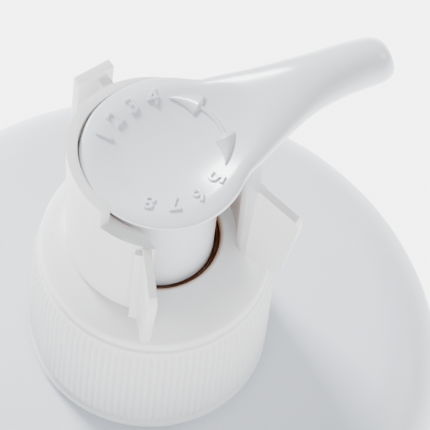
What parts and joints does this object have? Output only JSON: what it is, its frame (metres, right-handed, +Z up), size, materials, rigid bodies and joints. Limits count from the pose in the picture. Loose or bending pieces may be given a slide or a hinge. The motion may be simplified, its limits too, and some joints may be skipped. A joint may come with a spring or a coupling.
{
  "type": "pump dispenser bottle",
  "caption": "Round white plastic bottle with a ribbed screw cap, a long-spout hand pump, and a C-shaped lock clip around the pump stem.",
  "frame": {"origin": "centre of the bottle's base, on the surface it stands on", "axes": "+Z up along the bottle and pump axis; +X is 32.5 degrees clockwise of the spout seen from above"},
  "size_m": [0.108, 0.108, 0.2954],
  "materials": {
    "bottle_hdpe": "satin blow-moulded polyethylene",
    "cap_pp": "moulded polypropylene",
    "head_pp": "glossy moulded polypropylene",
    "clip_pp": "moulded polypropylene",
    "pump_pp": "natural polypropylene",
    "piston_pe": "soft polyethylene",
    "tube_pe": "extruded polyethylene",
    "gasket_foam": "foamed sealing washer",
    "seal_rubber": "soft wiper",
    "ball_steel": "polished stainless steel",
    "spring_steel": "drawn stainless wire"
  },
  "bodies": {
    "bottle": {"bottle": "bottle_hdpe"},
    "pump": {"pump_housing": "pump_pp", "gasket": "gasket_foam", "guide_collar": "pump_pp", "stem_seal": "seal_rubber", "inlet_ball_cage": "pump_pp", "dip_tube": "tube_pe", "spring": "spring_steel"},
    "cap": {"cap": "cap_pp"},
    "plunger": {"piston": "piston_pe", "piston_carrier": "pump_pp", "outlet_ball_cage": "pump_pp"},
    "actuator": {"head": "head_pp", "stem": "head_pp"},
    "inlet_ball": {"inlet_ball": "ball_steel"},
    "outlet_ball": {"outlet_ball": "ball_steel"},
    "lock_clip": {"lock_clip": "clip_pp"}
  },
  "joints": [
    {"name": "pump_lift", "type": "slide", "parent": "bottle", "child": "pump", "axis": [0, 0, 1], "range_m": [0, 0.0076]},
    {"name": "cap_turn", "type": "hinge", "parent": "pump", "child": "cap", "pos_m": [0, 0, 0.226], "axis": [0, 0, 1], "range_deg": [0, 630]},
    {"name": "head_press", "type": "slide", "parent": "pump", "child": "plunger", "axis": [0, 0, -1], "range_m": [0, 0.018], "stiffness_N_per_m": 350, "springref_m": -0.02, "deforming": ["spring"]},
    {"name": "head_turn", "type": "hinge", "parent": "plunger", "child": "actuator", "pos_m": [0, 0, 0.285], "axis": [0, 0, 1], "range_deg": [-110, 0]},
    {"name": "clip_pull", "type": "slide", "parent": "pump", "child": "lock_clip", "axis": [-0.6293, 0.7771, 0], "range_m": [0, 0.2431]},
    {"name": "inlet_ball_lift", "type": "slide", "parent": "pump", "child": "inlet_ball", "axis": [0, 0, 1], "range_m": [0, 0.0008]},
    {"name": "outlet_ball_lift", "type": "slide", "parent": "plunger", "child": "outlet_ball", "axis": [0, 0, 1], "range_m": [0, 0.001]}
  ],
  "couplings": [
    {"joint": "pump_lift", "follows": "cap_turn", "m_per_rad": 0.00067322},
    {"joint": "clip_pull", "follows": "head_press", "ratio": 13.5}
  ]
}
